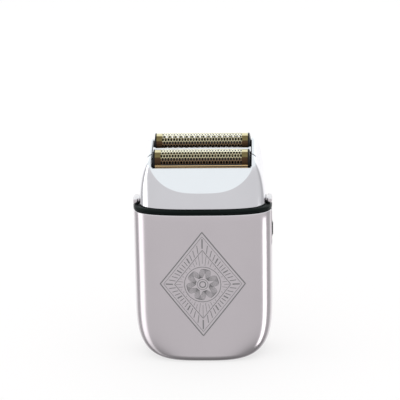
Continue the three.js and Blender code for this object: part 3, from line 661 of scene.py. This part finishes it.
def head_cavity():
    a, b = HEAD_HALF_WIDTH - HEAD_WALL, HEAD_HALF_DEPTH - HEAD_WALL
    room = loft("room", [(HEAD_BOTTOM - 5, a, b), (104, a, b)], HEAD_PLAN, 96)
    ceiling = block("ceiling", (-40, 40), (-40, 40), (-60, -1.5), None, DECK)
    boolean(room, ceiling, "INTERSECT")
    slope = [(-13, 60), (13.8, 60), (13.8, 83), (12, 94.3), (-10.2, 88), (-13, 76.5)]
    boolean(room, prism("slope", slope, -40, 40, "X"), "INTERSECT")
    cheeks = INSIDE + [(-x, n) for x, n in reversed(INSIDE)]
    boolean(room, prism("cheeks", cheeks, -40, 40, "Y", None, DECK), "INTERSECT")
    return room


def make_head():
    head = head_outside()
    fix_normals(head)
    boolean(head, block("below", (-60, 60), (-60, 60), (40, HEAD_BOTTOM)))
    cut_facet(head, *FACET, -1)
    cut_facet(head, *REAR_FACET, 1)
    boolean(head, head_cavity())
    width = CHANNEL_HALF_WIDTH
    boolean(head, block("channel", (-width, width), (-30, 30), (0, 20), None, DECK))
    pocket = rounded_rectangle(width - 0.05, 11.675, 0.7, (0, -0.075))
    boolean(head, prism("pocket", pocket, -3, 1, "Z", None, DECK))
    for _, side in SIDES:
        x = sorted((side * 21.5, side * 23.3))
        boolean(head, block("tab", x, (TAB - 0.35, TAB + 0.35), (-3, 9), None, DECK))
    _, button_hi = span("release_button_right")
    half = button_hi.y + 0.45
    notch = rounded_rectangle(half, 10, 1.0, (0, button_hi.z + 0.45 - 10))
    boolean(head, prism("notch", notch, -40, 40, "X"))
    for _, side in SIDES:
        x = sorted((side * 20.6, side * 24.8))
        ledge = block("ledge", x, (-5, 5), (-7, -5.2), None, DECK)
        boolean(head, ledge, "UNION")
    crease(head, 9)
    finish_piece(head, "head", ("head_housing",))


# ---------------------------------------------------------------- foils and their caps

HOLE_PITCH = 1.22
HOLE_ROW = 1.45  # pitch of the staggered rows, round the arch
HOLE_SIZE = 0.78  # width of a hole, as a share of its cell
MESH_HALF_LENGTH = 17.4
FOIL_SHEET = 0.12


def arch_length():
    return math.pi * FOIL_RADIUS + 2 * (FOIL_CENTRE - FOIL_BOTTOM)


def on_arch(u, v, radius=FOIL_RADIUS):
    """The place on a foil of a flat sheet's point: u along X, v round the arch from the crown."""
    quarter = math.pi / 2 * FOIL_RADIUS
    if abs(v) <= quarter:
        turn = v / FOIL_RADIUS
        return Vector((u, radius * math.sin(turn), FOIL_CENTRE + radius * math.cos(turn)))
    return Vector((u, math.copysign(radius, v), FOIL_CENTRE - (abs(v) - quarter)))


def honeycomb(half_u, half_v):
    """Flat sheet of hexagonal cells, each a ring round its hole, trimmed to a rectangle."""
    mesh = bmesh.new()
    size = HOLE_PITCH / math.sqrt(3)
    row_pitch = HOLE_ROW
    stretch = HOLE_ROW / (size * 1.5)
    rows = int(half_v / row_pitch) + 2
    columns = int(half_u / HOLE_PITCH) + 2
    for row in range(-rows, rows + 1):
        for column in range(-columns, columns + 1):
            u = (column + 0.5 * (row % 2)) * HOLE_PITCH
            v = row * row_pitch
            rings = []
            for scale in (1.0, HOLE_SIZE):
                rings.append([mesh.verts.new((
                    u + scale * size * math.sin(math.pi / 3 * k),
                    v + scale * stretch * size * math.cos(math.pi / 3 * k), 0))
                    for k in range(6)])
            for k in range(6):
                j = (k + 1) % 6
                mesh.faces.new((rings[0][k], rings[0][j], rings[1][j], rings[1][k]))
    bmesh.ops.remove_doubles(mesh, verts=mesh.verts, dist=1e-3)
    for axis, half in (((1, 0, 0), half_u), ((0, 1, 0), half_v)):
        for side in (-1, 1):
            normal = Vector(axis) * side
            bmesh.ops.bisect_plane(mesh, geom=mesh.verts[:] + mesh.edges[:] + mesh.faces[:],
                                   plane_co=normal * half, plane_no=normal, clear_outer=True)
    return mesh


def strip(mesh, u_range, v_range, u_steps, v_steps):
    """Adds a plain rectangle of sheet to a flat mesh."""
    grid = []
    for i in range(u_steps + 1):
        u = u_range[0] + (u_range[1] - u_range[0]) * i / u_steps
        grid.append([mesh.verts.new((u, v_range[0] + (v_range[1] - v_range[0]) * j / v_steps, 0))
                     for j in range(v_steps + 1)])
    for i in range(u_steps):
        for j in range(v_steps):
            mesh.faces.new((grid[i][j], grid[i + 1][j], grid[i + 1][j + 1], grid[i][j + 1]))


def make_foils():
    half_v = arch_length() / 2
    mesh_v = half_v - 3.1
    for name, end in ENDS:
        flat = honeycomb(MESH_HALF_LENGTH, mesh_v)
        for face in flat.faces:
            face.material_index = 1
        for side in (-1, 1):
            strip(flat, sorted((side * MESH_HALF_LENGTH, side * FOIL_HALF_LENGTH)), (-half_v, half_v), 3, 48)
            strip(flat, (-MESH_HALF_LENGTH, MESH_HALF_LENGTH), sorted((side * mesh_v, side * half_v)), 32, 10)
        for vertex in flat.verts:
            vertex.co = on_arch(vertex.co.x, vertex.co.y)
            vertex.co = (DECK @ (vertex.co + Vector((0, end * FOIL_OFFSET, 0)))) * MM
        bmesh.ops.remove_doubles(flat, verts=flat.verts, dist=1e-6)
        bmesh.ops.recalc_face_normals(flat, faces=flat.faces)
        mesh = bpy.data.meshes.new(f"foil_{name}_piece")
        flat.to_mesh(mesh)
        flat.free()
        foil = wrap(f"foil_{name}_piece", mesh, GOLD, 40)
        # Each foil's inner face takes the black insulation: painted shade under the sheet, seen through its holes.
        for look in (GOLD_MESH, WIRE_BLACK_AND_FOIL_SHADE, WIRE_BLACK_AND_FOIL_SHADE):
            mesh.materials.append(look)
        skin = foil.modifiers.new("sheet", "SOLIDIFY")
        skin.thickness = FOIL_SHEET * MM
        skin.offset = -1
        skin.material_offset = 2
        bake_modifiers(foil, 40)
        finish_piece(foil, f"foil_{name}_unit", (f"foil_{name}",))
        make_bead(name, end)


def make_bead(name, end):
    """The gold roll along each leg of the foil, just above the deck."""
    for side_name, side in (("outer", end), ("inner", -end)):
        section = [(0.28 * math.cos(math.pi * k / 5), 0.28 * math.sin(math.pi * k / 5)) for k in range(10)]
        centre = Vector((0, end * FOIL_OFFSET + side * (FOIL_RADIUS + 0.05), 0.35))
        outline = [(centre.y + u, centre.z + v) for u, v in section]
        bead = prism(
            f"foil_bead_{name}_{side_name}", outline, -FOIL_HALF_LENGTH, FOIL_HALF_LENGTH, "X", GOLD_ROLL, DECK)
        finish_piece(bead, f"foil_{name}_unit")


def arch_outline(radius, bottom, steps=40):
    points = [(radius * math.cos(math.pi * i / steps), FOIL_CENTRE + radius * math.sin(math.pi * i / steps))
              for i in range(steps + 1)]
    return [(radius, bottom), *points, (-radius, bottom)]


def make_caps():
    for name, end in ENDS:
        for side_name, side in SIDES:
            node = f"foil_cap_{name}_{side_name}"
            outline = [(u + end * FOIL_OFFSET, v) for u, v in arch_outline(FOIL_RADIUS + 0.12, FOIL_BOTTOM)]
            low, high = sorted((side * (FOIL_HALF_LENGTH + 0.02), side * CAP_BASE_X))
            cap = prism(f"{node}_piece", outline, low, high, "X", BLACK)
            top = FOIL_CENTRE + FOIL_RADIUS + 0.12
            for vertex in cap.data.vertices:
                if abs(vertex.co.x) > (FOIL_HALF_LENGTH + 0.5) * MM:
                    lean = max(0.0, vertex.co.z / MM) / top
                    vertex.co.x = side * (CAP_BASE_X + (CAP_TOP_X - CAP_BASE_X) * lean) * MM
            bevel(cap, 0.28, 3, 50)
            cap.data.transform(Matrix.Scale(MM, 4) @ DECK @ Matrix.Scale(1 / MM, 4))
            finish_piece(cap, f"foil_{name}_unit", (node,))


def make_centre_bar():
    lo_n, hi_n = -3.4, 2.6
    outline = [
        (-1.9, lo_n), (1.9, lo_n), (1.9, 1.7), (1.55, 2.3),
        (0.9, hi_n), (-0.9, hi_n), (-1.55, 2.3), (-1.9, 1.7)]
    bar = prism("centre_bar_piece", outline, -21.3, 21.3, "X", BRIGHT, DECK)
    bevel(bar, 0.18, 3, 25)
    finish_piece(bar, "head", ("centre_bar",))


# ---------------------------------------------------------------- buttons and switch


def make_buttons():
    """Each button's outer face follows the body's side, with three grip grooves."""
    for name, side in SIDES:
        node = f"release_button_{name}"
        lo, hi = span(node)
        outer = max(abs(lo.x), abs(hi.x))
        half = hi.y
        steps = 24
        face = []
        for i in range(steps + 1):
            y = half * (2 * i / steps - 1)
            grip = 0.12 if min(abs(y), abs(abs(y) - 1.6)) < 0.25 else 0.0
            face.append((side * (outer - 0.35 * (y / half) ** 2 - grip), y))
        inner = outer - 2.0
        back = [(side * inner, half), (side * inner, 3.0), (side * 25.7, 3.0), (side * 25.7, -3.0),
                (side * inner, -3.0), (side * inner, -half)]
        button = prism(f"{node}_piece", face + back, lo.z, hi.z, "Z", SATIN)
        bevel(button, 0.22, 3, 40)
        finish_piece(button, f"release_{name}", (node,))


def make_switch():
    lo, hi = span("switch_bezel")
    half_y, half_z = (hi.y - lo.y) / 2, (hi.z - lo.z) / 2
    middle = (0, (lo.z + hi.z) / 2)
    slider_lo, slider_hi = span("switch_slider")
    travel = next(j["range_m"][1] for j in frame["joints"] if j["name"] == "switch_slide") / MM
    outline = rounded_rectangle(half_y, half_z, 0.8, middle)
    bezel = prism("switch_bezel_piece", outline, lo.x, hi.x, "X", SATIN)
    slot_half = (slider_hi.z - slider_lo.z + travel) / 2 + 0.4
    slot = rounded_rectangle(slider_hi.y + 0.35, slot_half, 0.7, (0, slider_lo.z - 0.4 + slot_half))
    boolean(bezel, prism("slot", slot, 20, 40, "X"))
    bevel(bezel, 0.14, 3, 40)
    finish_piece(bezel, "body", ("switch_bezel",))
    pad_middle = (0, (slider_lo.z + slider_hi.z) / 2)
    pad_half = (slider_hi.z - slider_lo.z) / 2
    slider = prism("switch_slider_piece", rounded_rectangle(slider_hi.y, pad_half, 0.6, pad_middle),
                   29.1, 30.35, "X", BLACK)
    ridge_count = 5
    for i in range(ridge_count):
        z = slider_lo.z + 1.1 + i * (2 * pad_half - 2.2) / (ridge_count - 1)
        ridge = [(29.9, z - 0.38), (30.4, z - 0.34), (30.72, z), (30.4, z + 0.34), (29.9, z + 0.38)]
        boolean(slider, prism("ridge", ridge, -2.2, 2.2, "Y"), "UNION")
    boolean(slider, block("neck", (26.4, 29.3), (-1.6, 1.6), (57.9, 58.8)), "UNION")
    boolean(slider, block("neck", (26.4, 29.3), (-1.6, 1.6), (55.4, 56.3)), "UNION")
    bevel(slider, 0.1, 2, 50)
    finish_piece(slider, "power_switch", ("switch_slider",))


# ---------------------------------------------------------------- etched ornament


def body_front(x, z):
    a, b = body_half_width(z), body_half_depth(z)
    return -b * (1 - min(1, abs(x) / a) ** BODY_PLAN[0]) ** (1 / BODY_PLAN[0])


ORNAMENT_CENTRE = 36.0
ETCH_LIFT = 0.015
ETCH_STEP = 0.4


def ribbon(mesh, path, width, closed=False):
    """A flat line along a path of (x, z) points, laid on the body's front."""
    if closed:
        path = path + path[:1]
    dense = [Vector(path[0])]
    for end in map(Vector, path[1:]):
        start = dense[-1].copy()
        steps = max(1, int((end - start).length / ETCH_STEP))
        dense += [start.lerp(end, k / steps) for k in range(1, steps + 1)]
    pairs = []
    for i, place in enumerate(dense):
        before = dense[i - 1] if i else (dense[-2] if closed else dense[0])
        after = dense[i + 1] if i + 1 < len(dense) else (dense[1] if closed else dense[-1])
        along = (after - before).normalized()
        across = Vector((-along.y, along.x)) * width / 2
        pair = []
        for p in (place - across, place + across):
            x, z = p.x, p.y + ORNAMENT_CENTRE
            pair.append(mesh.verts.new(Vector((x, body_front(x, z) - ETCH_LIFT, z)) * MM))
        pairs.append(pair)
    for (a, b), (c, d) in zip(pairs, pairs[1:]):
        mesh.faces.new((a, c, d, b))


def ring_path(radius, wave=0.0, lobes=0, turn=0.0, steps=144):
    path = []
    for i in range(steps):
        t = 2 * math.pi * i / steps
        r = radius + wave * math.cos(lobes * t)
        path.append((r * math.sin(t + turn), r * math.cos(t + turn)))
    return path


def make_ornament():
    """A plain geometric device: nested lozenges, a guilloche rosette and rays."""
    mesh = bmesh.new()
    for half_w, half_h, width in ((18.5, 23.5, 0.55), (17.0, 21.6, 0.2), (12.2, 15.5, 0.3)):
        ribbon(mesh, [(0, half_h), (half_w, 0), (0, -half_h), (-half_w, 0)], width, True)
    for turn in range(6):
        ribbon(mesh, ring_path(5.0, 2.0, 6, turn * math.pi / 36), 0.2, True)
    for radius, width in ((1.3, 0.5), (2.3, 0.25), (7.9, 0.3)):
        ribbon(mesh, ring_path(radius), width, True)
    for i in range(48):
        t = 2 * math.pi * i / 48
        reach = 1 / (abs(math.sin(t)) / 16.4 + abs(math.cos(t)) / 20.8)
        start = 8.6 if i % 2 else 9.4
        inner_edge = 1 / (abs(math.sin(t)) / 12.2 + abs(math.cos(t)) / 15.5)
        if inner_edge - 0.5 > start:
            ribbon(mesh, [(start * math.sin(t), start * math.cos(t)),
                          ((inner_edge - 0.5) * math.sin(t), (inner_edge - 0.5) * math.cos(t))], 0.2)
        ribbon(mesh, [((inner_edge + 0.7) * math.sin(t), (inner_edge + 0.7) * math.cos(t)),
                      ((reach - 0.3) * math.sin(t), (reach - 0.3) * math.cos(t))], 0.34 if i % 4 else 0.6)
    bmesh.ops.recalc_face_normals(mesh, faces=mesh.faces)
    data = bpy.data.meshes.new("front_ornament")
    mesh.to_mesh(data)
    mesh.free()
    ornament = wrap("front_ornament", data, ETCHED)
    if ornament.data.polygons[0].normal.y > 0:
        ornament.data.flip_normals()
    finish_piece(ornament, "body")


make_shells()
make_ring()
make_head()
make_foils()
make_caps()
make_centre_bar()
make_buttons()
make_switch()
make_ornament()

# ---------------------------------------------------------------- studio


def matt(name, colour):
    n = Nodes(name)
    tint = [tuple(c * k for c in colour) for k in (0.995, 1.0)]
    n.set(Base_Color=n.ramp(n.noise(3), [(0.3, tint[0]), (0.7, tint[1])]), Roughness=0.9)
    return n.material


FLOOR = (0.272, 0.256, 0.257)
FLOOR_GLOW = 0.645  # the floor is a lit table, so shadows on it stay pale
SWEEP_RADIUS = 500


def make_sweep():
    """A pale floor that curves up into a backdrop. Reflections look past it, into the studio below."""
    profile = [(-3000, 0), (900, 0)]
    for i in range(1, 17):
        turn = math.pi / 2 * i / 16
        profile.append((900 + SWEEP_RADIUS * math.sin(turn), SWEEP_RADIUS * (1 - math.cos(turn))))
    profile.append((900 + SWEEP_RADIUS, 3000))
    points = [(x, y, z) for y, z in profile for x in (-3500, 3500)]
    faces = [(2 * i, 2 * i + 1, 2 * i + 3, 2 * i + 2) for i in range(len(profile) - 1)]
    look = matt("pale_floor", FLOOR)
    shader = look.node_tree.nodes["Principled BSDF"]
    shader.inputs["Emission Color"].default_value = (1, 1, 1, 1)
    shader.inputs["Emission Strength"].default_value = FLOOR_GLOW
    sweep = make("sweep", points, faces, look, 60)
    sweep.visible_glossy = False


# Radiance round the studio, by how far a direction turns from the front (0 to 180 degrees).
LEFT_STOPS = [(0, 1.0), (68, 0.97), (76, 2.4), (97, 2.4), (104, 0.7), (126, 0.75), (142, 1.35), (180, 1.15)]
RIGHT_STOPS = [(0, 1.0), (68, 0.97), (95, 0.9), (104, 0.7), (126, 0.75), (142, 1.35), (180, 1.15)]
# How much of that shows at each height, from straight down (-90) to straight up (90).
FADE_STOPS = [(-90, 0.0), (-40, 1.0), (6, 1.0), (28, 0.0), (90, 0.0)]
# Colour of the studio at each height.
HEIGHT_STOPS = [
    (-90, (0.25, 0.25, 0.25)), (-48, (0.45, 0.45, 0.45)), (-22, (0.96, 0.96, 0.96)), (-8, (1.02, 1.02, 1.02)),
    (4, (1.12, 1.13, 1.13)), (15, (1.33, 1.41, 1.40)), (40, (1.33, 1.41, 1.40)), (90, (1.3, 1.34, 1.33))]


def make_world():
    """A studio of smooth panels: light in front, a bright strip to the left, grey gaps, a bright ceiling."""
    world = bpy.data.worlds.new("studio")
    world.use_nodes = True
    tree = world.node_tree
    background = tree.nodes["Background"]

    def math_node(operation, *inputs):
        made = tree.nodes.new("ShaderNodeMath")
        made.operation = operation
        for socket, value in zip(made.inputs, inputs):
            if isinstance(value, bpy.types.NodeSocket):
                tree.links.new(value, socket)
            else:
                socket.default_value = value
        return made.outputs[0]

    def curve(value, low, high, stops):
        share = math_node("DIVIDE", math_node("SUBTRACT", value, low), high - low)
        made = tree.nodes.new("ShaderNodeValToRGB")
        tree.links.new(share, made.inputs["Fac"])
        ramp = made.color_ramp
        ramp.interpolation = "EASE"
        while len(ramp.elements) < len(stops):
            ramp.elements.new(0.5)
        for element, (place, level) in zip(ramp.elements, stops):
            element.position = (place - low) / (high - low)
            element.color = (*level, 1) if isinstance(level, tuple) else (level, level, level, 1)
        return made.outputs[0]

    direction = tree.nodes.new("ShaderNodeTexCoord").outputs["Generated"]
    split = tree.nodes.new("ShaderNodeSeparateXYZ")
    tree.links.new(direction, split.inputs[0])
    x, y, z = split.outputs
    degrees = 180 / math.pi
    forward = math_node("MULTIPLY", y, -1.0)
    turn = math_node("MULTIPLY", math_node("ARCTAN2", math_node("ABSOLUTE", x), forward), degrees)
    height = math_node("MULTIPLY", math_node("ARCSINE", z), degrees)
    left, right = curve(turn, 0, 180, LEFT_STOPS), curve(turn, 0, 180, RIGHT_STOPS)
    on_right = math_node("GREATER_THAN", x, 0.0)
    around = math_node("ADD", left, math_node("MULTIPLY", math_node("SUBTRACT", right, left), on_right))
    panels = math_node("SUBTRACT", around, 1.0)
    shown = math_node("MULTIPLY", panels, curve(height, -90, 90, FADE_STOPS))
    tree.links.new(math_node("ADD", shown, 1.0), background.inputs["Strength"])
    tree.links.new(curve(height, -90, 90, HEIGHT_STOPS), background.inputs["Color"])
    bpy.context.scene.world = world


STRIP_X, STRIP_Y, STRIP_Z = 150, (-44, 2), (-110, 31)
STRIP_LEVEL = 2.4


def make_strip_light(level):
    """A low strip to the right, close enough that the body reflects it and the head does not."""
    x, y, z = STRIP_X, STRIP_Y, STRIP_Z
    data = bpy.data.lights.new("strip_light", "AREA")
    data.shape = "RECTANGLE"
    data.size, data.size_y = (y[1] - y[0]) * MM, (z[1] - z[0]) * MM
    data.energy = level * math.pi * data.size * data.size_y
    lamp = bpy.data.objects.new("strip_light", data)
    bpy.context.scene.collection.objects.link(lamp)
    lamp.location = Vector((x, sum(y) / 2, sum(z) / 2)) * MM
    lamp.rotation_mode = "QUATERNION"
    lamp.rotation_quaternion = Vector((-1, 0, 0)).to_track_quat("-Z", "Y")
    lamp.visible_camera = False
    lamp.visible_diffuse = False


make_strip_light(STRIP_LEVEL)
make_sweep()
make_world()
bpy.context.scene.view_settings.view_transform = "Standard"
